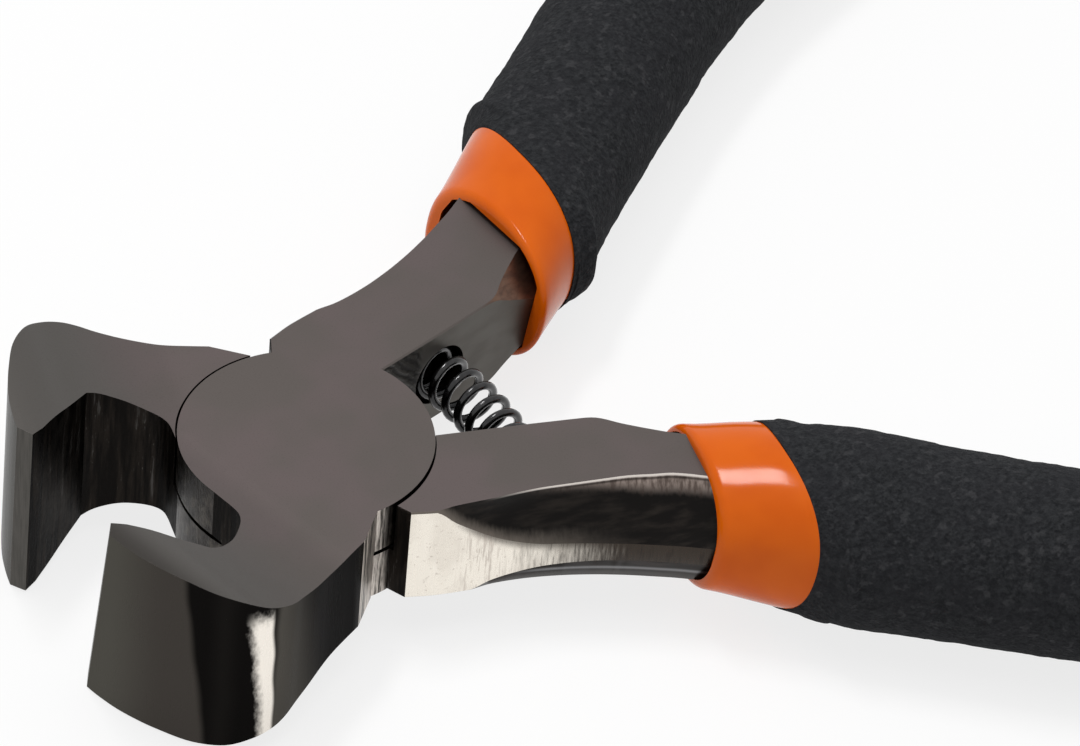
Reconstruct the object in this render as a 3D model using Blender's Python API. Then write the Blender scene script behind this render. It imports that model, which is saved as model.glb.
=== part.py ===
# Front cutting pliers: two crossed forged levers on one rivet, a return spring and two sleeved foam grips.
# The origin is on the pivot axis, in the flat underside of the joint. +X runs to the handles, +Z is up.
# Each lever is drawn in its own frame: its pivot at the origin, mid-thickness at zero, its handle along +X,
# its shank on the +Y side and its jaw on the -Y side, as it lies when the jaws are shut.
import math

import bpy
import bmesh
from mathutils import Vector

# Joint
DISC_RADIUS = 0.0080
JOINT_THICKNESS = 0.0071
OPEN_HALF_ANGLE = math.radians(14.2)
TURN_GAP = 0.0003
LAP_GAP = 0.0003
SEAT_GAP = 0.0003
CUT_OVERRUN = 0.0020

# Rivet
PIN_RADIUS = 0.0024
RIVET_HEAD_RADIUS = 0.0040
RIVET_HEAD_RIM = 0.0006
RIVET_HEAD_DEPTH = 0.0018
BLIND_COVER = 0.0012

# Jaws
JAW_REACH = 0.0170
EDGE_LAND = 0.0008
JAW_HALF_WIDTH = 0.0115
MOUTH_HALF_WIDTH = 0.0049
BLADE_HEIGHT = 0.0132
FLARE_START = 0.0078
FLARE_POWER = 1.2
HEEL_ANGLE = math.radians(-100.0)
MOUTH_ROOT_ANGLE = math.radians(182.0)
# The jaw's outer side from the mouth of the blade to the heel: shares of the reach and of the half width
JAW_OUTER_SHARES = ((1.048, 0.165), (1.042, 0.296), (1.026, 0.426), (1.003, 0.557), (0.959, 0.748),
                    (0.894, 0.896), (0.821, 0.974), (0.753, 1.0), (0.694, 0.996), (0.629, 0.970),
                    (0.541, 0.935), (0.435, 0.887), (0.309, 0.839), (0.194, 0.800), (0.124, 0.778))
# The mouth's side from the disc to the blade's bevel: shares of the reach and of the mouth's half width
MOUTH_SHARES = ((0.472, 0.22), (0.474, 0.42), (0.482, 0.56), (0.506, 0.68), (0.553, 0.81), (0.612, 0.93),
                (0.671, 0.99), (0.712, 1.0), (0.747, 0.97))

# Shank, from the joint to the front of the sleeve
SHANK_START = 0.0034
SHOULDER_LENGTH = 0.0045
SHOULDER_FOOT_WIDTH = 0.0069
SHANK_LENGTH = 0.0224
SHANK_OUTER_WIDTH = 0.0082
SHANK_INNER_WIDTH = 0.00145
NECK_OUTER_WIDTH = 0.0114
NECK_INNER_WIDTH = 0.0018
EDGE_BREAK = 0.00015
SCOOP_WIDTH = 0.0031
SCOOP_HEIGHT = 0.0036
SCOOP_HOLLOW_SHARE = 0.10
BACK_CHAMFER_WIDTH = 0.0010
BACK_CHAMFER_HEIGHT = 0.0021
NECK_CHAMFER_WIDTH = 0.0023
NECK_CHAMFER_HEIGHT = 0.0020
# Place along the shank, then how much is reached there of the outer side's widening, the inner side's
# widening, the scoop's width, the scoop's height, the back chamfer and the neck chamfers
SHANK_SHARES = ((0.00, 0.00, 0.00, 0.00, 0.00, 0.00, 0.00),
                (0.09, 0.06, 0.00, 0.00, 0.00, 0.00, 0.00),
                (0.16, 0.067, 0.05, 0.08, 0.30, 0.00, 0.00),
                (0.23, 0.06, 0.12, 0.11, 0.55, 0.00, 0.00),
                (0.30, 0.065, 0.19, 0.15, 0.77, 0.15, 0.00),
                (0.38, 0.11, 0.28, 0.26, 0.92, 0.50, 0.00),
                (0.47, 0.19, 0.39, 0.39, 1.00, 0.75, 0.00),
                (0.58, 0.30, 0.54, 0.51, 1.00, 0.92, 0.00),
                (0.69, 0.44, 0.73, 0.66, 1.00, 1.00, 0.00),
                (0.78, 0.57, 0.88, 0.79, 1.00, 1.00, 0.05),
                (0.86, 0.71, 0.95, 0.88, 1.00, 1.00, 0.42),
                (0.93, 0.84, 0.98, 0.97, 1.00, 1.00, 0.72),
                (1.00, 1.00, 1.00, 1.00, 1.00, 1.00, 1.00))

# Handle. Sections lean by the front tilt at the sleeve's mouth and stand square to the handle further back
HANDLE_LENGTH = 0.0970
HANDLE_BOW = 0.0183
FRONT_TILT = math.radians(-8.0)
# Shares of the way from the shank's end to the handle's end, and of the bow
CENTRE_SHARES = ((0.0, 0.0), (0.070, 0.115), (0.102, 0.192), (0.142, 0.283), (0.189, 0.383),
                 (0.236, 0.478), (0.290, 0.579), (0.343, 0.673), (0.397, 0.758), (0.450, 0.831),
                 (0.504, 0.888), (0.611, 0.965), (0.718, 1.0), (0.826, 0.975), (0.933, 0.885), (1.0, 0.81))
TILT_HOLD_SHARE = 0.06
TILT_RELEASE_SHARE = 0.30
TANG_NARROWING_SHARE = 0.24
TANG_END_SHORT = 0.0080
TANG_HALF_WIDTH = 0.0028
TANG_HALF_HEIGHT = 0.0028
TANG_CHAMFER = 0.0011

# Sleeve and foam. The collar, the part of the sleeve in front of the foam, sits away from the scooped side
SLEEVE_WALL = 0.00095
SLEEVE_RIM_ROUND = 0.0004
COLLAR_LENGTH = 0.0068
COLLAR_FULL_LENGTH = 0.0040
COLLAR_WALL = 0.0012
COLLAR_HALF_HEIGHT = 0.0048
COLLAR_SQUARENESS = 2.25
COLLAR_RISE = 0.00035
SLEEVE_TAIL_ROUND = 0.0026
SLEEVE_TAIL_SHOWING = 0.0030
FOAM_RADIUS = 0.00585
FOAM_FRONT_RADIUS = 0.00595
FOAM_END_ROUND = 0.0003
RING_SIDES = 24
HANDLE_STEPS = 20
ROUND_STEPS = 3

# Return spring and its pockets
SPRING_STATION = 0.0131
SPRING_COIL_RADIUS = 0.00150
SPRING_WIRE_RADIUS = 0.00026
SPRING_TURNS = 7
SPRING_POINTS_PER_TURN = 10
POCKET_DEPTH = 0.0020
POCKET_CLEARANCE = 0.0003
POCKET_SIDES = 32

DISC_SIDES = 96
RIVET_SIDES = 40
FLARE_STEPS = 10
SMOOTH_STEPS = 3
CENTRE_STEPS = 8
SHARP_ANGLE = math.radians(32.0)

GROUND_STEEL = ((0.135, 0.110, 0.104), 0.38, 0.9)
SPRING_STEEL = ((0.020, 0.020, 0.021), 0.25, 0.9)
ORANGE_PVC = ((0.760, 0.165, 0.030), 0.28, 0.0)
BLACK_FOAM = ((0.032, 0.033, 0.036), 0.92, 0.0)


def remove_old_objects():
    for old in list(bpy.data.objects):
        bpy.data.objects.remove(old, do_unlink=True)


def make_material(name, look):
    colour, roughness, metallic = look
    material = bpy.data.materials.new(name)
    material.use_nodes = True
    shader = material.node_tree.nodes["Principled BSDF"]
    shader.inputs["Base Color"].default_value = (*colour, 1.0)
    shader.inputs["Roughness"].default_value = roughness
    shader.inputs["Metallic"].default_value = metallic
    return material


# Building blocks

def mesh_object(name, points, faces, parent=None, material=None):
    shape = bmesh.new()
    corners = [shape.verts.new(point) for point in points]
    for face in faces:
        shape.faces.new([corners[index] for index in face])
    bmesh.ops.recalc_face_normals(shape, faces=shape.faces)
    mesh = bpy.data.meshes.new(name)
    shape.to_mesh(mesh)
    shape.free()
    piece = bpy.data.objects.new(name, mesh)
    bpy.context.collection.objects.link(piece)
    piece.parent = parent
    if material:
        mesh.materials.append(material)
    return piece


def loft(name, rings, parent=None, material=None):
    count = len(rings[0])
    points = [point for ring in rings for point in ring]
    faces = [list(range(count)), list(range(len(points) - count, len(points)))]
    for step in range(len(rings) - 1):
        for side in range(count):
            after = (side + 1) % count
            near, far = step * count, (step + 1) * count
            faces.append([near + side, near + after, far + after, far + side])
    return mesh_object(name, points, faces, parent, material)


def prism(name, outline, low, high, parent=None, material=None):
    rings = [[(x, y, z) for x, y in outline] for z in (low, high)]
    return loft(name, rings, parent, material)


def circle(radius, sides):
    angles = [2 * math.pi * side / sides for side in range(sides)]
    return [(radius * math.cos(angle), radius * math.sin(angle)) for angle in angles]


def turned(name, profile, sides, parent=None, material=None):
    rings = [[(x, y, z) for x, y in circle(radius, sides)] for radius, z in profile]
    return loft(name, rings, parent, material)


def smooth_curve(points, steps):
    ends = [points[0], *points, points[-1]]
    curve = []
    for before, start, end, after in zip(ends, ends[1:], ends[2:], ends[3:]):
        for step in range(steps):
            t = step / steps
            curve.append(tuple(
                b + t / 2 * ((c - a) + (2 * a - 5 * b + 4 * c - d) * t + (3 * b - a - 3 * c + d) * t ** 2)
                for a, b, c, d in zip(before, start, end, after)))
    return curve + [tuple(points[-1])]


def boolean(piece, cutter, operation):
    modifier = piece.modifiers.new(f"{operation.lower()} {cutter.name}", "BOOLEAN")
    modifier.operation = operation
    modifier.object = cutter
    modifier.solver = "EXACT"
    cutter.hide_render = True
    cutter.display_type = "WIRE"


def shade(piece):
    piece.data.shade_smooth()
    piece.data.set_sharp_from_angle(angle=SHARP_ANGLE)


def mix(low, high, share):
    return low + (high - low) * share


# Joint and jaw

def flare_height(reach):
    rise = (BLADE_HEIGHT - JOINT_THICKNESS) / 2
    share = max(reach - FLARE_START, 0) / (JAW_REACH - FLARE_START)
    return JOINT_THICKNESS / 2 + rise * share ** FLARE_POWER


def plate_outline():
    sweep = MOUTH_ROOT_ANGLE - HEEL_ANGLE
    angles = [HEEL_ANGLE + sweep * side / DISC_SIDES for side in range(DISC_SIDES + 1)]
    arc = [(DISC_RADIUS * math.cos(angle), DISC_RADIUS * math.sin(angle)) for angle in angles]
    mouth = [(-JAW_REACH * along, -MOUTH_HALF_WIDTH * across) for along, across in MOUTH_SHARES]
    outer = [(-JAW_REACH * along, -JAW_HALF_WIDTH * across) for along, across in JAW_OUTER_SHARES]
    edge = (-JAW_REACH, 0)
    land = (-JAW_REACH - EDGE_LAND, -EDGE_LAND)
    return arc + smooth_curve(mouth, SMOOTH_STEPS) + [edge] + smooth_curve([land, *outer], SMOOTH_STEPS)


def flare_block(name, parent):
    # The space between the two flared faces, which trims the jaw and the joint to their true height
    front = JAW_REACH + EDGE_LAND + CUT_OVERRUN
    stations = [mix(FLARE_START, front, step / FLARE_STEPS) for step in range(FLARE_STEPS, -1, -1)]
    top = [(-reach, flare_height(reach)) for reach in stations]
    top.append((DISC_RADIUS + CUT_OVERRUN, JOINT_THICKNESS / 2))
    profile = top + [(x, -z) for x, z in reversed(top)]
    side = JAW_HALF_WIDTH + CUT_OVERRUN
    return loft(name, [[(x, y, z) for x, z in profile] for y in (-side, side)], parent)


# Steel sections along the shank and the tang

def steel_section(half_width, half_height, chamfers, hollow, grow):
    (low_in, low_out, high_out, high_in) = chamfers
    corners = [(-half_width, -half_height + low_in[1]), (-half_width + low_in[0], -half_height),
               (half_width - low_out[0], -half_height), (half_width, -half_height + low_out[1]),
               (half_width, half_height - high_out[1]), (half_width - high_out[0], half_height),
               (-half_width + high_in[0], half_height), (-half_width, half_height - high_in[1])]
    section = []
    for before, corner, after in zip(corners[-1:] + corners[:-1], corners, corners[1:] + corners[:1]):
        section.append(grown_corner(before, corner, after, grow))
    middle = (Vector(section[2]) + Vector(section[3])) / 2
    inward = Vector((section[2][1] - section[3][1], section[3][0] - section[2][0]))
    section.insert(3, tuple(middle + inward * hollow))
    return section


def grown_corner(before, corner, after, grow):
    arrive = (Vector(corner) - Vector(before)).normalized()
    leave = (Vector(after) - Vector(corner)).normalized()
    out_arrive = Vector((arrive.y, -arrive.x))
    out_leave = Vector((leave.y, -leave.x))
    bisector = (out_arrive + out_leave) / (1 + out_arrive.dot(out_leave))
    return tuple(Vector(corner) + bisector * grow)


def placed_ring(section, centre, tilt):
    ahead, side = centre
    return [(ahead - e * math.sin(tilt), side + e * math.cos(tilt), z) for e, z in section]


def inner_side_at(station):
    place = (station - SHOULDER_LENGTH) / (SHANK_LENGTH - SHOULDER_LENGTH)
    for low, high in zip(SHANK_SHARES, SHANK_SHARES[1:]):
        if low[0] <= place <= high[0]:
            part = (place - low[0]) / (high[0] - low[0])
            return mix(SHANK_INNER_WIDTH, NECK_INNER_WIDTH, mix(low[2], high[2], part))
    return SHANK_INNER_WIDTH


def shank_chamfers(scoop_wide, scoop_high, back, neck):
    neck_cut = (mix(EDGE_BREAK, NECK_CHAMFER_WIDTH, neck), mix(EDGE_BREAK, NECK_CHAMFER_HEIGHT, neck))
    scoop = (mix(EDGE_BREAK, SCOOP_WIDTH, scoop_wide), mix(EDGE_BREAK, SCOOP_HEIGHT, scoop_high))
    back_cut = (mix(EDGE_BREAK, BACK_CHAMFER_WIDTH, back), mix(EDGE_BREAK, BACK_CHAMFER_HEIGHT, back))
    return [neck_cut, scoop, back_cut, neck_cut]


def shank_ring(row):
    place, outer_share, inner_share, scoop_wide, scoop_high, back, neck = row
    outer = mix(SHANK_OUTER_WIDTH, NECK_OUTER_WIDTH, outer_share)
    inner = mix(SHANK_INNER_WIDTH, NECK_INNER_WIDTH, inner_share)
    chamfers = shank_chamfers(scoop_wide, scoop_high, back, neck)
    hollow = SCOOP_HOLLOW_SHARE * scoop_high
    section = steel_section((outer - inner) / 2, JOINT_THICKNESS / 2, chamfers, hollow, 0)
    centre = (mix(SHOULDER_LENGTH, SHANK_LENGTH, place), (outer + inner) / 2)
    return placed_ring(section, centre, FRONT_TILT * place ** 2)


def foot_ring():
    # The shank's hidden root inside the joint, narrower than the shoulder
    half = (SHOULDER_FOOT_WIDTH - SHANK_INNER_WIDTH) / 2
    section = steel_section(half, JOINT_THICKNESS / 2, shank_chamfers(0, 0, 0, 0), 0, 0)
    return placed_ring(section, (SHANK_START, SHANK_INNER_WIDTH + half), 0)


# Handle places: centre, slope and lean of the section at a share of the handle's length

def centre_line():
    neck_middle = (NECK_OUTER_WIDTH + NECK_INNER_WIDTH) / 2
    stations = [(mix(SHANK_LENGTH, HANDLE_LENGTH, along), neck_middle + HANDLE_BOW * bow)
                for along, bow in CENTRE_SHARES]
    return smooth_curve(stations, CENTRE_STEPS)


def handle_place(share):
    line = centre_line()
    ahead = mix(SHANK_LENGTH, HANDLE_LENGTH, share)
    for start, end in zip(line, line[1:]):
        if ahead <= end[0] or end is line[-1]:
            part = (ahead - start[0]) / (end[0] - start[0])
            slope = math.atan2(end[1] - start[1], end[0] - start[0])
            release = min(max((share - TILT_HOLD_SHARE) / (TILT_RELEASE_SHARE - TILT_HOLD_SHARE), 0), 1)
            release = release ** 2 * (3 - 2 * release)
            return (ahead, mix(start[1], end[1], part)), slope, mix(FRONT_TILT, slope, release)


def share_of(length):
    # How far along the handle a length beyond the shank's end lies
    return length / (HANDLE_LENGTH - SHANK_LENGTH)


def narrowing(share):
    part = min(max(share / TANG_NARROWING_SHARE, 0), 1)
    return part ** 2 * (3 - 2 * part)


def neck_radius():
    _, slope, tilt = handle_place(0)
    return (NECK_OUTER_WIDTH - NECK_INNER_WIDTH) / 2 * math.cos(slope - tilt)


def tang_ring(share, grow=0, ahead=0):
    centre, slope, tilt = handle_place(share)
    part = narrowing(share)
    half_width = mix(neck_radius(), TANG_HALF_WIDTH, part) / math.cos(slope - tilt)
    half_height = mix(JOINT_THICKNESS / 2, TANG_HALF_HEIGHT, part)
    chamfers = [(mix(wide, TANG_CHAMFER, part), mix(high, TANG_CHAMFER, part))
                for wide, high in shank_chamfers(1, 1, 1, 1)]
    section = steel_section(half_width, half_height, chamfers, SCOOP_HOLLOW_SHARE * (1 - part), grow)
    return placed_ring(section, (centre[0] + ahead, centre[1]), tilt)


def closing_in(share):
    # 0 at the collar, 1 where the sleeve has closed in on the tang
    return min(max((share - share_of(COLLAR_FULL_LENGTH)) / TANG_NARROWING_SHARE, 0), 1)


def oval_ring(share, size):
    half_width, half_height, squareness = size
    centre, slope, tilt = handle_place(share)
    half_width = half_width / math.cos(slope - tilt)
    rise = COLLAR_RISE * (1 - closing_in(share))
    section = []
    for side in range(RING_SIDES):
        angle = 2 * math.pi * (side + 0.5) / RING_SIDES
        c, s = math.cos(angle), math.sin(angle)
        section.append((half_width * math.copysign(abs(c) ** (2 / squareness), c),
                        rise + half_height * math.copysign(abs(s) ** (2 / squareness), s)))
    return placed_ring(section, centre, tilt)


def handle_shares(first, last):
    return [mix(first, last, step / HANDLE_STEPS) for step in range(HANDLE_STEPS + 1)]


def rounded_ends(first, last, front_round, tail_round):
    # Shares along the handle, each with how far the surface is drawn in there by the rounded ends
    angles = [math.pi / 2 * step / ROUND_STEPS for step in range(ROUND_STEPS + 1)]
    quarter = [(1 - math.cos(angle), 1 - math.sin(angle)) for angle in angles]
    front = [(first + share_of(front_round * along), front_round * drawn) for along, drawn in quarter]
    tail = [(last - share_of(tail_round * along), tail_round * drawn) for along, drawn in reversed(quarter)]
    middle = [(share, 0) for share in handle_shares(front[-1][0], tail[0][0])[1:-1]]
    return front + middle + tail


# The pieces

def make_lever(letter, half, bore_profile, steel):
    tall = BLADE_HEIGHT / 2 + CUT_OVERRUN
    lever = prism(f"lever_{letter}", plate_outline(), -tall, tall, half, steel)
    boolean(lever, flare_block(f"flare_{letter}", half), "INTERSECT")

    tang_end = 1 - share_of(TANG_END_SHORT)
    rings = [foot_ring()] + [shank_ring(row) for row in SHANK_SHARES]
    rings += [tang_ring(share) for share in handle_shares(0, tang_end)[1:]]
    boolean(lever, loft(f"shank_{letter}", rings, half), "UNION")

    recess = prism(f"recess_{letter}", circle(DISC_RADIUS + TURN_GAP, DISC_SIDES), -tall - CUT_OVERRUN,
                   LAP_GAP / 2, half)
    boolean(lever, recess, "DIFFERENCE")

    pocket_radius = SPRING_COIL_RADIUS + SPRING_WIRE_RADIUS + POCKET_CLEARANCE
    floor = inner_side_at(SPRING_STATION) + POCKET_DEPTH
    rings = [[(SPRING_STATION + x, side, y) for x, y in circle(pocket_radius, POCKET_SIDES)]
             for side in (-CUT_OVERRUN, floor)]
    boolean(lever, loft(f"pocket_{letter}", rings, half), "DIFFERENCE")

    boolean(lever, turned(f"bore_{letter}", bore_profile, RIVET_SIDES, half), "DIFFERENCE")
    shade(lever)
    return lever


def rivet_profile(grow):
    # In the lower lever's frame, from the pin's end to the head, which is flush with the lever's outer face
    pin_end = JOINT_THICKNESS / 2 - BLIND_COVER - SEAT_GAP
    head_face = JOINT_THICKNESS / 2
    return [(PIN_RADIUS + grow, -pin_end - grow),
            (PIN_RADIUS + grow, head_face - RIVET_HEAD_DEPTH - grow),
            (RIVET_HEAD_RADIUS + grow, head_face - RIVET_HEAD_RIM - grow),
            (RIVET_HEAD_RADIUS + grow, head_face + (CUT_OVERRUN if grow else 0))]


def blind_bore_profile():
    radius = PIN_RADIUS + SEAT_GAP
    return [(radius, -CUT_OVERRUN), (radius, JOINT_THICKNESS / 2 - BLIND_COVER)]


def sleeve_size(share, inset):
    # Across and in height: roomy at the collar, close to the tang under the foam
    close = closing_in(share)
    across = mix(neck_radius() + COLLAR_WALL, TANG_HALF_WIDTH + SEAT_GAP + SLEEVE_WALL, close)
    height = mix(COLLAR_HALF_HEIGHT, TANG_HALF_HEIGHT + SEAT_GAP + SLEEVE_WALL, close)
    squareness = mix(COLLAR_SQUARENESS, 2, close)
    return across - inset, height - inset, squareness


def make_sleeve(letter, half, orange):
    stations = rounded_ends(0, 1, SLEEVE_RIM_ROUND, SLEEVE_TAIL_ROUND)
    rings = [oval_ring(share, sleeve_size(share, inset)) for share, inset in stations]
    sleeve = loft(f"grip_sleeve_{letter}", rings, half, orange)
    bore_end = 1 - share_of(TANG_END_SHORT - SEAT_GAP)
    rings = [tang_ring(0, SEAT_GAP, -CUT_OVERRUN)]
    rings += [tang_ring(share, SEAT_GAP) for share in handle_shares(0, bore_end)]
    boolean(sleeve, loft(f"sleeve_bore_{letter}", rings, half), "DIFFERENCE")
    shade(sleeve)
    return sleeve


def foam_size(share, inset):
    radius = mix(FOAM_FRONT_RADIUS, FOAM_RADIUS, closing_in(share)) - inset
    return radius, radius, 2


def make_foam_grip(letter, half, foam):
    first, last = share_of(COLLAR_LENGTH), 1 - share_of(SLEEVE_TAIL_SHOWING)
    rings = [oval_ring(share, foam_size(share, inset))
             for share, inset in rounded_ends(first, last, FOAM_END_ROUND, FOAM_END_ROUND)]
    grip = loft(f"foam_grip_{letter}", rings, half, foam)
    shares = handle_shares(first - share_of(CUT_OVERRUN), last + share_of(CUT_OVERRUN))
    rings = [oval_ring(share, sleeve_size(share, -SEAT_GAP)) for share in shares]
    boolean(grip, loft(f"foam_bore_{letter}", rings, half), "DIFFERENCE")
    shade(grip)
    return grip


def spring_points():
    # A helix on the arc that stands square on both pocket floors, with a straight end on each
    floor = inner_side_at(SPRING_STATION) + POCKET_DEPTH - SEAT_GAP
    cosine, sine = math.cos(OPEN_HALF_ANGLE), math.sin(OPEN_HALF_ANGLE)
    end_x = SPRING_STATION * cosine - floor * sine
    end_y = SPRING_STATION * sine + floor * cosine
    arc_radius = end_y / sine
    arc_centre = end_x - arc_radius * cosine
    straight = 2 * SPRING_WIRE_RADIUS / arc_radius
    steps = SPRING_TURNS * SPRING_POINTS_PER_TURN
    places = [(OPEN_HALF_ANGLE, 0)]
    places += [(mix(OPEN_HALF_ANGLE - straight, straight - OPEN_HALF_ANGLE, step / steps), step)
               for step in range(steps + 1)]
    places.append((-OPEN_HALF_ANGLE, steps))
    points = []
    for along, step in places:
        turn = 2 * math.pi * step / SPRING_POINTS_PER_TURN
        reach = arc_radius + SPRING_COIL_RADIUS * math.cos(turn)
        points.append(Vector((arc_centre + reach * math.cos(along), reach * math.sin(along),
                              JOINT_THICKNESS / 2 + SPRING_COIL_RADIUS * math.sin(turn))))
    return points


def least_gap(points):
    # Between the surfaces of turns, leaving out points that are neighbours on the same half turn
    apart = SPRING_POINTS_PER_TURN // 2
    distance = min((points[first] - points[second]).length
                   for first in range(len(points)) for second in range(first + apart, len(points)))
    return distance - 2 * SPRING_WIRE_RADIUS


def make_spring(steel):
    points = spring_points()
    print(f"return spring: least gap between turns {least_gap(points) * 1000:.2f} mm")
    curve = bpy.data.curves.new("return_spring", "CURVE")
    curve.dimensions = "3D"
    curve.bevel_depth = SPRING_WIRE_RADIUS
    curve.bevel_resolution = 1
    curve.use_fill_caps = True
    line = curve.splines.new("POLY")
    line.points.add(len(points) - 1)
    for knot, point in zip(line.points, points):
        knot.co = (*point, 1)
    curve.materials.append(steel)
    spring = bpy.data.objects.new("return_spring", curve)
    bpy.context.collection.objects.link(spring)
    return spring


def make_half(letter, turned_over):
    half = bpy.data.objects.new(f"half_{letter}", None)
    bpy.context.collection.objects.link(half)
    half.location.z = JOINT_THICKNESS / 2
    half.rotation_euler = (math.pi, 0, -OPEN_HALF_ANGLE) if turned_over else (0, 0, OPEN_HALF_ANGLE)
    return half


def build():
    remove_old_objects()
    steel = make_material("ground_steel", GROUND_STEEL)
    spring_steel = make_material("spring_steel", SPRING_STEEL)
    orange = make_material("orange_pvc", ORANGE_PVC)
    foam = make_material("black_foam", BLACK_FOAM)

    half_a = make_half("a", False)
    half_b = make_half("b", True)
    make_lever("a", half_a, blind_bore_profile(), steel)
    make_lever("b", half_b, rivet_profile(SEAT_GAP), steel)
    upright_profile = [(radius, -z) for radius, z in rivet_profile(0)]
    rivet = turned("pivot_rivet", upright_profile, RIVET_SIDES, half_a, steel)
    shade(rivet)
    make_spring(spring_steel)
    for letter, half in (("a", half_a), ("b", half_b)):
        make_sleeve(letter, half, orange)
        make_foam_grip(letter, half, foam)
    bpy.context.view_layer.update()


build()
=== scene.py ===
import math

import bmesh
import bpy
from mathutils import Euler, Matrix, Vector, noise


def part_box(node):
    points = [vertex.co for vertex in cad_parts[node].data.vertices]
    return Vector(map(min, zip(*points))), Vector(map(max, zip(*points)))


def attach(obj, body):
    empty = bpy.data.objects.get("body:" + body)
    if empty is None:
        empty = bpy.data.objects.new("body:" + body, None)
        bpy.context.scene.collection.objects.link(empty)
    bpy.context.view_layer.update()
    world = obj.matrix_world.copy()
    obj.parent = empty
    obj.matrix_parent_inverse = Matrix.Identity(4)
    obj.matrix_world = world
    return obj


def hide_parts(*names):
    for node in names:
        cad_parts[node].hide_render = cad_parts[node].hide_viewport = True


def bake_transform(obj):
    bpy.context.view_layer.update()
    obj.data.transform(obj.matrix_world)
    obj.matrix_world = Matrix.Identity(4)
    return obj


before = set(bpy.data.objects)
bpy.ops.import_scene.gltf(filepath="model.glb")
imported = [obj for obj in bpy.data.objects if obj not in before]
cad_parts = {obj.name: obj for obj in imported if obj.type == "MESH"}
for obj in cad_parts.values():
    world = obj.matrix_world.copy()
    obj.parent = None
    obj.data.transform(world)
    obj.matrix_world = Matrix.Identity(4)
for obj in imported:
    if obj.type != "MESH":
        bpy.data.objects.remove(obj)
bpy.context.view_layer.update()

# Front cutting pliers. Lengths are millimetres until a mesh is finished.
# Each half is drawn in its own frame: pivot at zero, handle along +x, shank on +y, jaw on -y.
mm = 0.001
joint = {"radius": 8.0, "thickness": 7.1, "halfAngle": math.radians(14.2), "lapGap": 0.3, "sides": 180}
halfThickness = joint["thickness"] / 2
# How far a cutter reaches past what it cuts
margin = 2.0
print("frame loaded")


# Mesh tools

def between(low, high, share):
    return low + (high - low) * share


def eased(share):
    share = min(max(share, 0), 1)
    return share ** 2 * (3 - 2 * share)


def smoothCurve(points, steps):
    ends = [points[0], *points, points[-1]]
    curve = []
    for before, start, end, after in zip(ends, ends[1:], ends[2:], ends[3:]):
        for step in range(steps):
            t = step / steps
            curve.append(tuple(
                b + t / 2 * ((c - a) + (2 * a - 5 * b + 4 * c - d) * t + (3 * b - a - 3 * c + d) * t ** 2)
                for a, b, c, d in zip(before, start, end, after)))
    return curve + [tuple(points[-1])]


def circle(radius, sides):
    return [(radius * math.cos(math.tau * side / sides), radius * math.sin(math.tau * side / sides))
            for side in range(sides)]


def newObject(name, data):
    made = bpy.data.objects.new(name, data)
    bpy.context.scene.collection.objects.link(made)
    return made


def newPiece(name, points, faces, slots=()):
    shape = bmesh.new()
    corners = [shape.verts.new(point) for point in points]
    for face in faces:
        shape.faces.new([corners[index] for index in face])
    for face, slot in zip(shape.faces, slots):
        face.material_index = slot
    bmesh.ops.recalc_face_normals(shape, faces=shape.faces)
    mesh = bpy.data.meshes.new(name)
    shape.to_mesh(mesh)
    shape.free()
    return newObject(name, mesh)


def loft(name, rings, endless=False, slots=None, endSlot=0):
    # Skins rings of points; an endless loft joins its last ring to its first, as a tube's wall does.
    # Slots are the finishes of the ring's sides
    count = len(rings[0])
    points = [point for ring in rings for point in ring]
    faces, faceSlots = [], []
    for step in range(len(rings) if endless else len(rings) - 1):
        near, far = step * count, (step + 1) % len(rings) * count
        for side in range(count):
            after = (side + 1) % count
            faces.append([near + side, near + after, far + after, far + side])
            faceSlots.append(slots[side] if slots else endSlot)
    if not endless:
        faces += [list(range(count)), list(range(len(points) - count, len(points)))]
        faceSlots += [endSlot, endSlot]
    return newPiece(name, points, faces, faceSlots)


def prism(name, outline, low, high, slots=None, endSlot=0):
    return loft(name, [[(x, y, z) for x, y in outline] for z in (low, high)], False, slots, endSlot)


def settle(piece):
    # Makes the piece's modifiers part of its mesh
    bpy.context.view_layer.update()
    seen = bpy.context.evaluated_depsgraph_get()
    mesh = bpy.data.meshes.new_from_object(piece.evaluated_get(seen))
    piece.modifiers.clear()
    piece.data = mesh


def carve(piece, cutter, operation):
    change = piece.modifiers.new("carve", "BOOLEAN")
    change.operation = operation
    change.object = cutter
    change.solver = "EXACT"
    settle(piece)
    bpy.data.objects.remove(cutter)


def smooth(piece, sharpAngle):
    piece.data.shade_smooth()
    piece.data.set_sharp_from_angle(angle=math.radians(sharpAngle))


def halfMatrix(letter):
    turn = Euler((0, 0, joint["halfAngle"]) if letter == "A" else (math.pi, 0, -joint["halfAngle"]))
    return Matrix.Translation((0, 0, halfThickness * mm)) @ turn.to_matrix().to_4x4()


def place(piece, letter, *materials):
    # Brings a finished piece from its half's millimetres into the frame
    piece.data.transform(Matrix.Scale(mm, 4))
    piece.matrix_world = halfMatrix(letter)
    for material in materials:
        piece.data.materials.append(material)


# Shader tools

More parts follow.
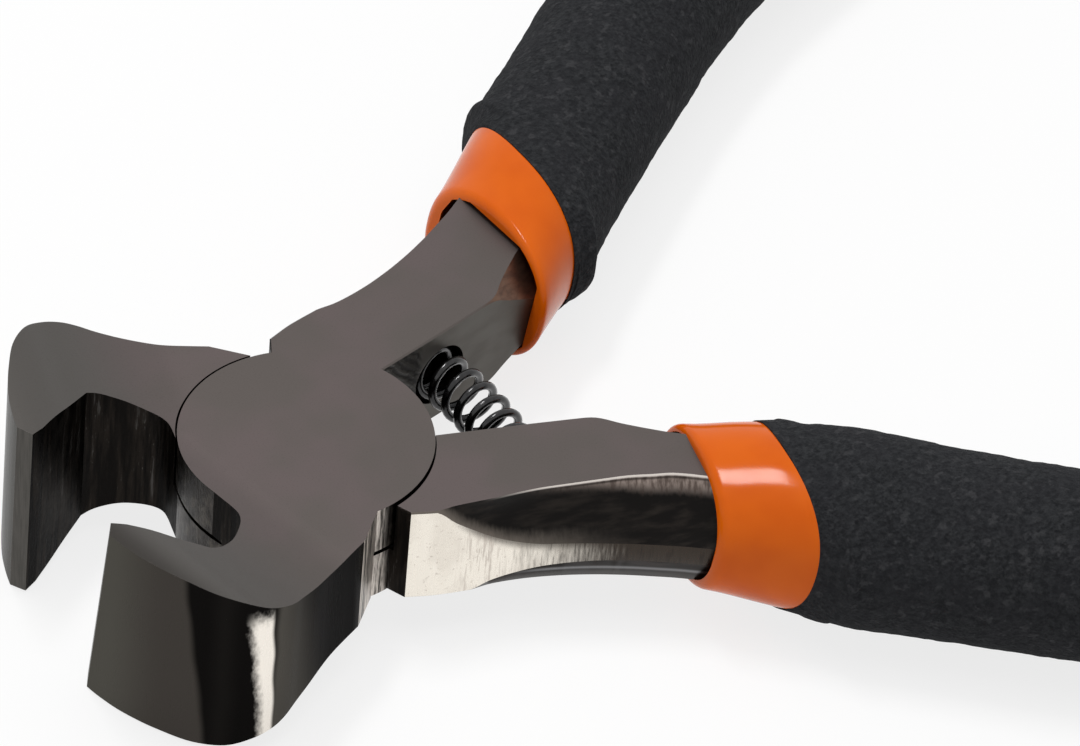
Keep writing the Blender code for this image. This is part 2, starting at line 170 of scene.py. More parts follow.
class Wire:
    # A socket that takes part in sums; each adds a Math node
    def __init__(self, web, socket):
        self.web = web
        self.socket = socket

    def __add__(self, other):
        return self.web.reckon("ADD", self, other)

    def __sub__(self, other):
        return self.web.reckon("SUBTRACT", self, other)

    def __rsub__(self, other):
        return self.web.reckon("SUBTRACT", other, self)

    def __mul__(self, other):
        return self.web.reckon("MULTIPLY", self, other)

    __radd__ = __add__
    __rmul__ = __mul__

    def fade(self, start, end):
        # 0 up to start, 1 from end on, smooth between
        return self.web.node("ShaderNodeMapRange", {"interpolation_type": "SMOOTHSTEP"},
                             {0: self, 1: start, 2: end, 3: 0.0, 4: 1.0})

    def band(self, low, high, soft):
        return self.fade(low - soft, low + soft) * (1 - self.fade(high - soft, high + soft))


class Web:
    # A tree of nodes; each comes from node(), whose settings are set before its sockets
    def __init__(self, tree):
        self.tree = tree

    def node(self, kind, settings, sockets, output=0):
        made = self.tree.nodes.new(kind)
        for name, value in settings.items():
            setattr(made, name, value)
        for name, value in sockets.items() if isinstance(sockets, dict) else enumerate(sockets):
            if isinstance(value, Wire):
                self.tree.links.new(value.socket, made.inputs[name])
            else:
                made.inputs[name].default_value = value
        return Wire(self, made.outputs[output])

    def reckon(self, operation, *values):
        return self.node("ShaderNodeMath", {"operation": operation}, values)

    def inView(self):
        # 1 where the camera looks, straight or by way of gloss or glass
        straight, gloss, glass = (self.node("ShaderNodeLightPath", {}, {}, f"Is {ray} Ray")
                                  for ray in ("Camera", "Glossy", "Transmission"))
        return self.reckon("MAXIMUM", self.reckon("MAXIMUM", straight, gloss), glass)


class Finish(Web):
    # A material; x, y and z are millimetres in the piece's own frame
    def __init__(self, name, colour, metallic=0.0, roughness=0.5):
        self.material = bpy.data.materials.new(name)
        self.material.use_nodes = True
        super().__init__(self.material.node_tree)
        self.shader = self.tree.nodes["Principled BSDF"]
        self.fixed(Metallic=metallic, Roughness=roughness)
        self.colour = colour
        where = self.node("ShaderNodeTexCoord", {}, {}, "Object")
        self.spot = self.node("ShaderNodeVectorMath", {"operation": "SCALE"}, {0: where, "Scale": 1 / mm})
        self.x, self.y, self.z = (self.node("ShaderNodeSeparateXYZ", {}, [self.spot], axis) for axis in "XYZ")

    def fixed(self, **values):
        for name, value in values.items():
            self.shader.inputs[name.replace("_", " ")].default_value = value

    def grain(self, scale, stretch=(1, 1, 1), detail=3.0, rough=0.55):
        # Noise with scale features to the millimetre, drawn out where stretch is small
        spot = self.node("ShaderNodeVectorMath", {"operation": "MULTIPLY"}, [self.spot, stretch])
        return self.node("ShaderNodeTexNoise", {}, {"Vector": spot, "Scale": scale, "Detail": detail,
                                                    "Roughness": rough}, "Fac")

    def tint(self, share, first, second):
        first, second = (value if isinstance(value, Wire) else (*tone(value), 1.0) for value in (first, second))
        return self.node("ShaderNodeMix", {"data_type": "RGBA"}, {0: share, 6: first, 7: second}, 2)

    def paint(self, share, colour):
        # Lays a colour over a share of what is there
        self.colour = self.tint(share, self.colour, colour)

    def done(self, roughness, height, distance, strength):
        # Height is a bump's, distance its size in millimetres
        normal = self.node("ShaderNodeBump", {}, {"Height": height, "Distance": distance * mm,
                                                  "Strength": strength}, "Normal")
        for name, wire in (("Base Color", self.colour), ("Roughness", roughness), ("Normal", normal)):
            self.tree.links.new(wire.socket, self.shader.inputs[name])
        return self.material


def tone(screen):
    # A colour as it looks on screen, 0 to 255, turned into the shader's linear values
    return tuple((c / 255 / 12.92) if c <= 10 else ((c / 255 + 0.055) / 1.055) ** 2.4 for c in screen)


# Finishes of the steel: screen tones, and the places in the half's own frame over which they come and go

def flatSteel():
    # Bead-blasted faces, a warm grey that turns cooler towards the jaws' tips and dark at the upper one's
    look = {"disc": (91, 82, 81), "greyer": (86, 80, 77), "jawTip": (80, 77, 74), "tonePatch": (50, 47, 44),
            "speck": (72, 65, 63), "coolerOver": (-14.0, -7.0), "darkTipOver": (-17.8, -15.4), "upper": (0.0, 1.0)}
    finish = Finish("flatSteel", look["disc"], 0.85)
    cloud = finish.grain(0.16, detail=2.0)
    fine = finish.grain(9.0, detail=2.0)
    finish.paint(cloud.fade(0.35, 0.65), look["greyer"])
    finish.paint(1 - finish.x.fade(*look["coolerOver"]), look["jawTip"])
    # Darker at the upper jaw's tip
    tonePatch = (1 - finish.x.fade(*look["darkTipOver"])) * finish.z.fade(*look["upper"])
    finish.paint(tonePatch * 0.9, look["tonePatch"])
    finish.paint(fine.fade(0.55, 0.8) * 0.5, look["speck"])
    return finish.done(fine * 0.12 + 0.38, fine + cloud * 0.5, 0.012, 0.5)


# Dark plating that stays dark where it is seen at a shallow angle
platedEdge = (0.45, 0.45, 0.45, 1)


def turnAbout(finish, x):
    # Degrees round a point on the jaw's middle line, so that bands follow the wall round its corner
    return finish.reckon("ARCTAN2", 0 - finish.y, 0 - (finish.x - x)) * math.degrees(1)


def wallSteel():
    # The jaw's outer wall: polished black nickel, painted with its reflections in bands round its corner: a painted
    # highlight strip where the wall turns, painted sheen and dark bands beside it, and painted shade towards the heel
    look = {"edge": (78, 76, 70), "olive": (62, 58, 54), "black": (9, 7, 6), "sheen": (22, 20, 18),
            "white": (252, 245, 235), "grey": (78, 75, 70), "heel": (16, 13, 12),
            # the point, and degrees round it
            "centre": -9.0, "waver": 2.6, "oliveOver": (8.0, 38.0), "blackOver": (45.5, 48.5),
            "sheenBand": (53.0, 57.5, 3.5), "whiteOver": (63.0, 66.6), "whiteOut": (69.2, 70.6),
            "greyOver": (69.0, 72.0), "heelOver": (73.0, 95.0),
            # height at which the painted highlight strip ends
            "whiteTop": (4.0, 5.6)}
    finish = Finish("wallSteel", look["edge"], 0.9)
    drawn = finish.grain(3.0, (1, 1, 0.06), 4.0)
    speck = finish.grain(3.5, (1, 1, 0.5))
    turn = turnAbout(finish, look["centre"]) + (finish.grain(0.22, (0.5, 0.5, 1), 1.0) - 0.5) * look["waver"]
    # Painted reflections round the corner: olive sheen, black band, sheen and grey, then painted shade towards the
    # heel
    finish.paint(turn.fade(*look["oliveOver"]), look["olive"])
    finish.paint((turn + finish.z * 0.6).fade(*look["blackOver"]), look["black"])
    finish.paint(turn.band(*look["sheenBand"]) * 0.8, look["sheen"])
    finish.paint(turn.fade(*look["greyOver"]), look["grey"])
    finish.paint((turn + finish.z * 0.8).fade(*look["heelOver"]), look["heel"])
    # Painted highlight: the white strip where the wall turns its corner
    low = turn + finish.z * 0.45 + (speck - 0.5) * 3.0
    ends = 1 - (finish.z + (speck - 0.5) * 1.2).fade(*look["whiteTop"])
    out = 1 - (turn + finish.z * 0.2).fade(*look["whiteOut"])
    finish.paint(low.fade(*look["whiteOver"]) * out * ends, look["white"])
    finish.fixed(Specular_Tint=platedEdge)
    return finish.done(drawn * 0.12 + 0.2, drawn, 0.012, 0.25)


def landSteel():
    # The narrow ground land along the cutting edge
    look = {"dark": (66, 64, 60), "light": (82, 79, 75)}
    finish = Finish("landSteel", look["dark"], 0.85)
    lines = finish.grain(1.2, (6, 6, 0.3), 4.0)
    finish.paint(lines.fade(0.3, 0.7), look["light"])
    return finish.done(lines * 0.2 + 0.3, lines, 0.01, 0.4)


def aboveScoop(finish):
    # How far a spot lies past the soft line where the scoop meets the flat side
    ahead = finish.reckon("MAXIMUM", 12.9 - finish.x, 0.0)
    return finish.z - 0.05 + ahead * ahead * 0.083


def sideSteel():
    # The shank's flat outer side, cross-ground, with a painted reflection: near-white at the shoulder, fading to brown
    # and black towards the collar
    look = {"white": (247, 240, 228), "patch": (204, 194, 182), "warm": (186, 175, 165), "brown": (58, 51, 45),
            "dark": (38, 34, 31), "warmBand": (8.0, 10.4, 0.8), "brownOver": (10.5, 17.9), "darkOver": (9.5, 14.5),
            "scoopEdge": (-0.1, 0.7), "scoopOver": (6.5, 9.0)}
    finish = Finish("sideSteel", look["white"], 0.9)
    across = finish.grain(1.6, (3.4, 1, 0.3), 5.0, 0.65)
    patches = finish.grain(0.5, (1, 1, 0.6))
    speck = finish.grain(4.5)
    finish.paint(patches.fade(0.42, 0.62) * 0.25, look["patch"])
    finish.paint(speck.fade(0.6, 0.72) * 0.5, look["warm"])
    finish.paint(across.fade(0.5, 0.6) * finish.x.band(*look["warmBand"]) * 0.6, look["warm"])
    # Painted reflection fading from the shoulder's near-white to brown and dark streaks towards the collar
    along = finish.x + (across - 0.5) * 6.0 + (patches - 0.5) * 2.0
    finish.paint(along.fade(*look["brownOver"]), look["brown"])
    finish.paint(across.fade(0.48, 0.66) * finish.x.fade(*look["darkOver"]) * 0.5, look["dark"])
    # Painted shade along the soft line where the scoop meets the flat side
    nearScoop = 1 - (aboveScoop(finish) + (across - 0.5) * 0.6).fade(*look["scoopEdge"])
    finish.paint(nearScoop * finish.x.fade(*look["scoopOver"]) * 0.75, look["brown"])
    return finish.done(across * 0.25 + 0.15, across, 0.02, 0.5)


def scoopSteel():
    # The hollow scoop, nearly black, with a painted reflection under its rim: a lit band that widens towards the
    # collar, a dark line in it and a bright line along the rim's edge, and painted light at its foot
    look = {"black": (19, 17, 16), "streak": (38, 34, 31), "rim": (96, 84, 78), "rimLit": (156, 142, 134),
            "line": (34, 28, 26), "edge": (228, 220, 213), "foot": (120, 112, 104),
            # places along the shank, then depths under the flat face
            "widensOver": (15.0, 21.0), "rimOver": (11.0, 19.0), "lineOver": (13.0, 16.0), "edgeOver": (9.0, 14.0),
            "footOver": (9.0, 19.0), "rimDepth": (0.0, 0.9), "lineBand": (0.2, 0.34, 0.08), "edgeDepth": (0.09, 0.21)}
    finish = Finish("scoopSteel", look["black"], 0.9)
    streak = finish.grain(0.7, (0.6, 2.5, 2.5), 4.0)
    tonePatch = finish.grain(1.6, (2.2, 1, 0.5), 4.0, 0.6)
    depth = finish.z + halfThickness
    finish.paint(streak.fade(0.4, 0.75), look["streak"])
    # Painted reflection: the lit band under the rim, widening towards the collar
    widened = depth + (tonePatch - 0.5) * 0.7 - finish.x.fade(*look["widensOver"]) * 0.6
    rim = (1 - widened.fade(*look["rimDepth"])) * finish.x.fade(*look["rimOver"])
    finish.paint(rim * 0.85, finish.tint(tonePatch.fade(0.35, 0.65), look["rim"], look["rimLit"]))
    # Painted dark line inside the lit band, and a painted highlight along the rim's edge
    line = depth.band(*look["lineBand"]) * finish.x.fade(*look["lineOver"])
    finish.paint(line * 0.8, look["line"])
    edge = (1 - depth.fade(*look["edgeDepth"])) * finish.x.fade(*look["edgeOver"])
    finish.paint(edge * 0.9, look["edge"])
    # Painted light at the scoop's foot, where it meets the flat side near the shoulder
    low = (aboveScoop(finish) + (tonePatch - 0.5) * 0.6).fade(-0.9, 0.1)
    finish.paint(low * (1 - finish.x.fade(*look["footOver"])) * 0.7, look["foot"])
    return finish.done(streak * 0.2 + 0.22, streak, 0.03, 0.4)


def backSteel():
    # The chamfer under the flat side, dark, with one painted highlight line, and lighter towards the flat face
    look = {"dark": (34, 31, 29), "streak": (52, 48, 46), "low": (64, 61, 59), "line": (150, 150, 152),
            "lineBand": (2.3, 2.6, 0.16), "lineOver": (10.5, 14.0), "lowOver": (2.6, 3.2)}
    finish = Finish("backSteel", look["dark"], 0.9)
    streak = finish.grain(0.8, (0.3, 2.0, 2.0), 4.0)
    # Painted highlight line along the chamfer
    line = finish.z.band(*look["lineBand"]) * finish.x.fade(*look["lineOver"])
    finish.paint(streak.fade(0.4, 0.7), look["streak"])
    finish.paint(finish.z.fade(*look["lowOver"]), look["low"])
    finish.paint(line * 0.6, look["line"])
    return finish.done(streak * 0.2 + 0.25, streak, 0.02, 0.4)


def innerSteel():
    # The shank's inner face, dark and smooth, rough where the cutter that made the lap ran out
    look = {"smooth": (82, 79, 74), "smoothDark": (74, 70, 65), "rough": (33, 30, 27), "roughLight": (56, 53, 49),
            "smoothOver": (10.9, 11.5)}
    finish = Finish("innerSteel", look["rough"], 0.85)
    streak = finish.grain(0.5, (0.5, 2, 1))
    swirl = finish.node("ShaderNodeTexWave", {"wave_type": "BANDS", "bands_direction": "DIAGONAL"},
                        {"Vector": finish.spot, "Scale": 0.9, "Distortion": 5.0, "Detail": 3.0}, "Fac")
    finish.paint(swirl.fade(0.3, 0.8), look["roughLight"])
    beyond = (finish.x + (streak - 0.5) * 1.5).fade(*look["smoothOver"])
    finish.paint(beyond, finish.tint(streak.fade(0.35, 0.7), look["smooth"], look["smoothDark"]))
    return finish.done(streak * 0.2 + 0.3, swirl * (1 - beyond) + streak * 0.2, 0.05, 0.6)


def facetSteel():
    # Narrow edge breaks that open into the neck's facets, browner there, a brown painted lighter to make up for the
    # collar's shade
    look = {"edge": (90, 84, 81), "brown": (104, 80, 66), "brownDark": (82, 62, 52), "brownOver": (16.5, 18.5)}
    finish = Finish("facetSteel", look["edge"], 0.9)
    streak = finish.grain(1.2, (0.6, 2, 2))
    brown = finish.tint(streak.fade(0.3, 0.7), look["brown"], look["brownDark"])
    # Painted light: the brown is raised to make up for the shade the collar casts on the facets
    finish.paint(finish.x.fade(*look["brownOver"]), brown)
    return finish.done(streak * 0.2 + 0.25, streak, 0.015, 0.4)


def milledSteel():
    # The rough milled walls of the mouth and the spring's pocket, dark brown with upright marks, and painted
    # highlights on the marks: light streaks and flecks
    look = {"dark": (13, 10, 8), "brown": (34, 29, 25), "mark": (78, 76, 74), "fleck": (98, 96, 93),
            "tonePatch": (66, 63, 60), "lighterBand": (-16.0, -13.4, 0.7)}
    finish = Finish("milledSteel", look["dark"], 0.8)
    marks = finish.grain(1.3, (1.4, 1.4, 0.12), 4.0, 0.6)
    fine = finish.grain(6.0, (1, 1, 0.3))
    finish.paint(marks.fade(0.42, 0.62), look["brown"])
    # Painted highlights: light streaks on the marks and flecks between them
    finish.paint(marks.fade(0.6, 0.68) * 0.7, look["mark"])
    finish.paint(fine.fade(0.58, 0.72) * marks.fade(0.5, 0.65) * 0.6, look["fleck"])
    # Lighter patches in a band near the jaw's tip
    tonePatch = finish.x.band(*look["lighterBand"]) * finish.grain(0.6, (1, 1, 0.6), 2.0).fade(0.42, 0.6)
    finish.paint(tonePatch * 0.25, look["tonePatch"])
    finish.fixed(Specular_Tint=platedEdge)
    return finish.done(fine * 0.3 + 0.28, marks + fine * 0.3, 0.08, 0.6)


def rimSteel():
    # The turned rims and heels at the joint, scored upright and bright where jaw and shoulder meet, and dark
    # elsewhere, a tone that also stands for the shadow in the lap's gap
    look = {"dark": (30, 25, 21), "chip": (72, 67, 61), "bright": (214, 205, 196), "heelSide": (6.6, 7.1),
            "heelOver": (-1.1, -0.4), "shoulderSide": (7.1, 7.4), "shoulderOver": (1.8, 2.4)}
    # The dark ground stands also for painted shadow in the lap's gap
    finish = Finish("rimSteel", look["dark"], 0.9)
    scores = finish.grain(1.9, (1.6, 1.6, 0.12), 5.0, 0.7)
    chips = finish.grain(1.1, (1.2, 1.2, 0.7), 4.0, 0.7)
    finish.paint(chips.fade(0.45, 0.65), look["chip"])
    heel = (0 - finish.y).fade(*look["heelSide"]) * (1 - finish.x.fade(*look["heelOver"]))
    shoulder = finish.y.fade(*look["shoulderSide"]) * finish.x.fade(*look["shoulderOver"])
    finish.paint((heel + shoulder) * scores.fade(0.38, 0.56), look["bright"])
    return finish.done(scores * 0.25 + 0.22, scores + chips * 0.6, 0.1, 0.8)


steelFinishes = [make() for make in (flatSteel, wallSteel, landSteel, sideSteel, scoopSteel, backSteel, innerSteel,
                                     facetSteel, milledSteel, rimSteel)]
flatSlot, wallSlot, landSlot, sideSlot, scoopSlot, backSlot, innerSlot, facetSlot, milledSlot, rimSlot = range(10)
print("steel finishes made")


# The forged lever: flared jaw and lap plate, shank with its scoop, tang

jaw = {"reach": 17.0, "land": 0.8, "halfWidth": 11.5, "mouthHalfWidth": 4.9, "bladeHeight": 13.2,
       "heelAngle": math.radians(-100), "rootAngle": math.radians(182),
       "outer": ((1.048, 0.165), (1.042, 0.296), (1.026, 0.426), (1.003, 0.557), (0.959, 0.748), (0.894, 0.896),
                 (0.821, 0.974), (0.753, 1.0), (0.694, 0.996), (0.629, 0.97), (0.541, 0.935), (0.435, 0.887),
                 (0.32, 0.843), (0.229, 0.812)),
       # reach along the jaw, rise of its faces above the joint's thickness
       "flare": ((5.4, 0.0), (6.4, 0.0), (7.4, 0.08), (9.2, 0.38), (10.7, 0.83), (11.8, 1.28), (12.8, 1.72),
                 (13.96, 2.2), (15.2, 2.8), (16.3, 3.12), (17.05, 3.25), (17.8, 3.3), (20.0, 3.35)),
       "skew": {"A": 0.11, "B": 0.047}, "shift": {"A": (0.0, 0.0), "B": (-0.4, -0.27)},
       "skewStart": 9.0, "skewRun": 8.0,
       "mouth": ((0.472, 0.22), (0.474, 0.42), (0.482, 0.56), (0.506, 0.68), (0.553, 0.81), (0.612, 0.93),
                 (0.671, 0.99), (0.712, 1.0), (0.747, 0.97)),
       "tip": (0.955, 0.127), "curveSteps": 6, "flareSteps": 4, "blockEnd": 110.0, "blockSide": 42.0}


def plateOutline():
    sweep = jaw["rootAngle"] - jaw["heelAngle"]
    angles = [jaw["heelAngle"] + sweep * side / joint["sides"] for side in range(joint["sides"] + 1)]
    arc = [(joint["radius"] * math.cos(angle), joint["radius"] * math.sin(angle)) for angle in angles]
    mouth = [(-jaw["reach"] * along, -jaw["mouthHalfWidth"] * across) for along, across in jaw["mouth"]]
    outer = [(-jaw["reach"] * along, -jaw["halfWidth"] * across) for along, across in jaw["outer"]]
    edge = (-jaw["reach"], 0)
    land = (-jaw["reach"] - jaw["land"], -jaw["land"])
    tip = (-jaw["reach"] * jaw["tip"][0], -jaw["mouthHalfWidth"] * jaw["tip"][1])
    inside = smoothCurve(mouth, jaw["curveSteps"]) + [tip, edge]
    outside = smoothCurve([land, *outer], jaw["curveSteps"])
    slots = [rimSlot] * (len(arc) - 1) + [milledSlot] * len(inside) + [landSlot]
    slots += [wallSlot] * (len(outside) - 1) + [rimSlot]
    return arc + inside + outside, slots


def flareBlock():
    # All the room between the lever's flat faces and the flared faces of its jaw
    flare = smoothCurve(jaw["flare"], jaw["flareSteps"])
    top = [(-reach, halfThickness + rise) for reach, rise in reversed(flare)] + [(jaw["blockEnd"], halfThickness)]
    profile = top + [(x, -z) for x, z in reversed(top)]
    return loft("flareBlock", [[(x, y, z) for x, z in profile] for y in (-jaw["blockSide"], jaw["blockSide"])],
                endSlot=flatSlot)


shank = {"start": 3.4, "shoulder": 4.5, "footWidth": 6.9, "length": 22.4, "outer": 8.2, "inner": 1.45,
         "neckOuter": 11.4, "neckInner": 1.8, "edge": 0.1, "scoopWidth": 3.1, "scoopHeight": 3.6,
         "scoopHollow": 0.12, "scoopSteps": 6, "backWidth": 1.0, "backHeight": 2.1, "neckWidth": 2.3,
         "neckHeight": 2.0, "tilt": math.radians(-8), "curveSteps": 5, "over": 0.5, "tangOver": 0.02,
         # place, outer side, inner side, scoop's width, scoop's height, back chamfer, neck facets
         "shares": ((0, 0, 0, 0, 0, 0, 0), (0.09, 0.06, 0, 0, 0, 0, 0), (0.16, 0.067, 0.05, 0.08, 0.3, 0, 0),
                    (0.23, 0.06, 0.12, 0.11, 0.55, 0, 0), (0.3, 0.065, 0.19, 0.15, 0.77, 0.3, 0),
                    (0.38, 0.11, 0.28, 0.26, 0.92, 0.55, 0), (0.47, 0.19, 0.39, 0.39, 1, 0.78, 0),
                    (0.58, 0.3, 0.54, 0.51, 1, 0.92, 0), (0.69, 0.44, 0.73, 0.66, 1, 1, 0),
                    (0.78, 0.57, 0.88, 0.79, 1, 1, 0.05), (0.86, 0.71, 0.95, 0.88, 1, 1, 0.42),
                    (0.93, 0.84, 0.98, 0.97, 1, 1, 0.72), (1, 1, 1, 1, 1, 1, 1))}

handle = {"length": 97.0, "bow": 18.3, "tiltHold": 0.06, "tiltRelease": 0.3, "narrowing": 0.24,
          "tangShort": 8.0, "tangHalf": 2.8, "tangChamfer": 1.1, "tangSteps": 40, "curveSteps": 10,
          "centre": ((0.0, 0.0), (0.07, 0.115), (0.102, 0.192), (0.142, 0.283), (0.189, 0.383), (0.236, 0.478),
                     (0.29, 0.579), (0.343, 0.673), (0.397, 0.758), (0.45, 0.831), (0.504, 0.888),
                     (0.611, 0.965), (0.718, 1.0), (0.826, 0.975), (0.933, 0.885), (1.0, 0.81))}


def steelSection(wide, high, cuts, hollow, over):
    # Half its width and height. Its sides: inner low facet, underside, scoop, outer side, back chamfer, top, inner
    # high facet, inner side. Underside and top stand over their height, for the block to cut them level
    lowIn, lowOut, highOut, highIn = cuts
    section = [(-wide, -high + lowIn[1]), (-wide + lowIn[0], -high), (-wide + lowIn[0], -high - over),
               (wide - lowOut[0], -high - over), (wide - lowOut[0], -high), (wide, -high + lowOut[1]),
               (wide, high - highOut[1]), (wide - highOut[0], high), (wide - highOut[0], high + over),
               (-wide + highIn[0], high + over), (-wide + highIn[0], high), (-wide, high - highIn[1])]
    start, end = Vector(section[4]), Vector(section[5])
    inward = Vector((start.y - end.y, end.x - start.x)) * hollow
    for step in range(shank["scoopSteps"] - 1, 0, -1):
        share = step / shank["scoopSteps"]
        section.insert(5, tuple(start.lerp(end, share) + inward * 4 * share * (1 - share)))
    return section


sectionSlots = [facetSlot, flatSlot, flatSlot, flatSlot, *[scoopSlot] * shank["scoopSteps"], sideSlot, backSlot,
                flatSlot, flatSlot, flatSlot, facetSlot, innerSlot]


def placedRing(section, centre, tilt, lean=0.0):
    return [(centre[0] - e * math.sin(tilt) + z * lean, centre[1] + e * math.cos(tilt), z) for e, z in section]


def shankCuts(scoopWide, scoopHigh, back, neck):
    edge = shank["edge"]
    neckCut = (between(edge, shank["neckWidth"], neck), between(edge, shank["neckHeight"], neck))
    scoop = (between(edge, shank["scoopWidth"], scoopWide), between(edge, shank["scoopHeight"], scoopHigh))
    backCut = (between(edge, shank["backWidth"], back), between(edge, shank["backHeight"], back))
    return [neckCut, scoop, backCut, neckCut]


def shankRing(row):
    ahead, outerShare, innerShare, scoopWide, scoopHigh, back, neck = row
    outer = between(shank["outer"], shank["neckOuter"], outerShare)
    inner = between(shank["inner"], shank["neckInner"], innerShare)
    cuts = shankCuts(*(min(max(share, 0), 1) for share in (scoopWide, scoopHigh, back, neck)))
    section = steelSection((outer - inner) / 2, halfThickness, cuts, shank["scoopHollow"] * scoopHigh, shank["over"])
    centre = (between(shank["shoulder"], shank["length"], ahead), (outer + inner) / 2)
    return placedRing(section, centre, shank["tilt"] * ahead ** 2)


def footRing():
    half = (shank["footWidth"] - shank["inner"]) / 2
    return placedRing(steelSection(half, halfThickness, shankCuts(0, 0, 0, 0), 0, shank["over"]),
                      (shank["start"], shank["inner"] + half), 0)


neckMiddle = (shank["neckOuter"] + shank["neckInner"]) / 2
handleRun = handle["length"] - shank["length"]
centreLine = smoothCurve([(between(shank["length"], handle["length"], along), neckMiddle + handle["bow"] * bow)
                          for along, bow in handle["centre"]], handle["curveSteps"])


def handlePlace(share):
    # Centre, slope and lean of the handle's section at a share of its length
    ahead = between(shank["length"], handle["length"], share)
    for start, end in zip(centreLine, centreLine[1:]):
        if ahead <= end[0] or end is centreLine[-1]:
            break
    part = (ahead - start[0]) / (end[0] - start[0])
    slope = math.atan2(end[1] - start[1], end[0] - start[0])
    release = eased((share - handle["tiltHold"]) / (handle["tiltRelease"] - handle["tiltHold"]))
    return (ahead, between(start[1], end[1], part)), slope, between(shank["tilt"], slope, release)


neckSlope, neckTilt = handlePlace(0)[1:]
neckRadius = (shank["neckOuter"] - shank["neckInner"]) / 2 * math.cos(neckSlope - neckTilt)


def tangSection(share):
    slope, tilt = handlePlace(share)[1:]
    part = eased(share / handle["narrowing"])
    halfWidth = between(neckRadius, handle["tangHalf"], part) / math.cos(slope - tilt)
    cuts = [(between(wide, handle["tangChamfer"], part), between(high, handle["tangChamfer"], part))
            for wide, high in shankCuts(1, 1, 1, 1)]
    return steelSection(halfWidth, between(halfThickness, handle["tangHalf"], part), cuts,
                        shank["scoopHollow"] * (1 - part), shank["tangOver"])


def tangRing(share):
    centre, _, tilt = handlePlace(share)
    return placedRing(tangSection(share), centre, tilt)


# Coil and wire are radii; the first and last turns lie close, and the ends stand a seat over the pockets' floors
spring = {"station": 13.1, "shift": {"A": 0.15, "B": 0.6}, "coil": 1.56, "wire": 0.28, "pocketDepth": 2.0,
          "pocketClear": 0.3, "pocketSides": 48, "seat": 0.3, "endInset": 1.05, "turns": 10, "phase": 0.6,
          "pointsPerTurn": 28, "wireSides": 12, "closed": 1.0, "closedPitch": 0.56, "blendFrom": 0.5, "sharpFrom": 40}


def innerSideAt(station):
    ahead = (station - shank["shoulder"]) / (shank["length"] - shank["shoulder"])
    for low, high in zip(shank["shares"], shank["shares"][1:]):
        if low[0] <= ahead <= high[0]:
            part = (ahead - low[0]) / (high[0] - low[0])
            return between(shank["inner"], shank["neckInner"], between(low[2], high[2], part))
    return shank["inner"]


pocketFloor = innerSideAt(spring["station"]) + spring["pocketDepth"]

recess = {"jawGap": 0.12, "rootOffset": 0.37, "rootRadius": 7.97, "root": (math.radians(8), math.radians(75))}


def recessOutline():
    # A close gap, but at the shank's root one that opens towards the shoulder
    outline = []
    for side in range(joint["sides"]):
        angle = math.tau * side / joint["sides"]
        reach = joint["radius"] + recess["jawGap"]
        if recess["root"][0] < angle < recess["root"][1]:
            aside = recess["rootOffset"] * math.cos(angle)
            reach = recess["rootOffset"] * math.sin(angle) + math.sqrt(recess["rootRadius"] ** 2 - aside ** 2)
        outline.append((reach * math.cos(angle), reach * math.sin(angle)))
    return outline


edges = {"join": 0.004, "flat": math.radians(0.4), "round": 0.11, "roundFrom": math.radians(32), "sharpFrom": 34}


def joinFlats(piece):
    # Joins the flat faces that the cuts left in strips
    shape = bmesh.new()
    shape.from_mesh(piece.data)
    bmesh.ops.remove_doubles(shape, verts=shape.verts, dist=edges["join"])
    bmesh.ops.dissolve_degenerate(shape, edges=shape.edges, dist=edges["join"])
    bmesh.ops.dissolve_limit(shape, angle_limit=edges["flat"], verts=shape.verts, edges=shape.edges,
                             delimit={"MATERIAL"})
    shape.to_mesh(piece.data)
    shape.free()


def roundEdges(piece):
    bevel = piece.modifiers.new("edges", "BEVEL")
    bevel.width = edges["round"]
    bevel.segments = 2
    bevel.limit_method = "ANGLE"
    bevel.angle_limit = edges["roundFrom"]
    bevel.use_clamp_overlap = True
    bevel.miter_outer = "MITER_ARC"
    settle(piece)
    smooth(piece, edges["sharpFrom"])
    level = piece.modifiers.new("level", "WEIGHTED_NORMAL")
    level.keep_sharp = True
    settle(piece)


rivet = {"pin": 2.4, "head": 4.0, "rim": 0.6, "depth": 1.8, "cover": 1.2, "gap": 0.3, "sides": 64}
pinHole, headHole = rivet["pin"] + rivet["gap"], rivet["head"] + rivet["gap"]
# Radius and height of the bore's rings: blind in the upper lever, open for the head in the lower one
bores = {"A": [(pinHole, -margin), (pinHole, halfThickness - rivet["cover"])],
         "B": [(pinHole, -halfThickness + rivet["cover"]), (pinHole, halfThickness - rivet["depth"] - rivet["gap"]),
               (headHole, halfThickness - rivet["rim"] - rivet["gap"]), (headHole, halfThickness + margin)]}


def rivetSteel():
    # Turned rings on the rivet's head
    finish = Finish("rivetSteel", (112, 104, 101), 0.9)
    rings = finish.reckon("SINE", finish.reckon("SQRT", finish.x * finish.x + finish.y * finish.y) * 26.0)
    mottle = finish.grain(1.4)
    finish.paint(mottle.fade(0.35, 0.65), (90, 84, 81))
    return finish.done(mottle * 0.2 + 0.25, rings * 0.5 + mottle, 0.012, 0.5)


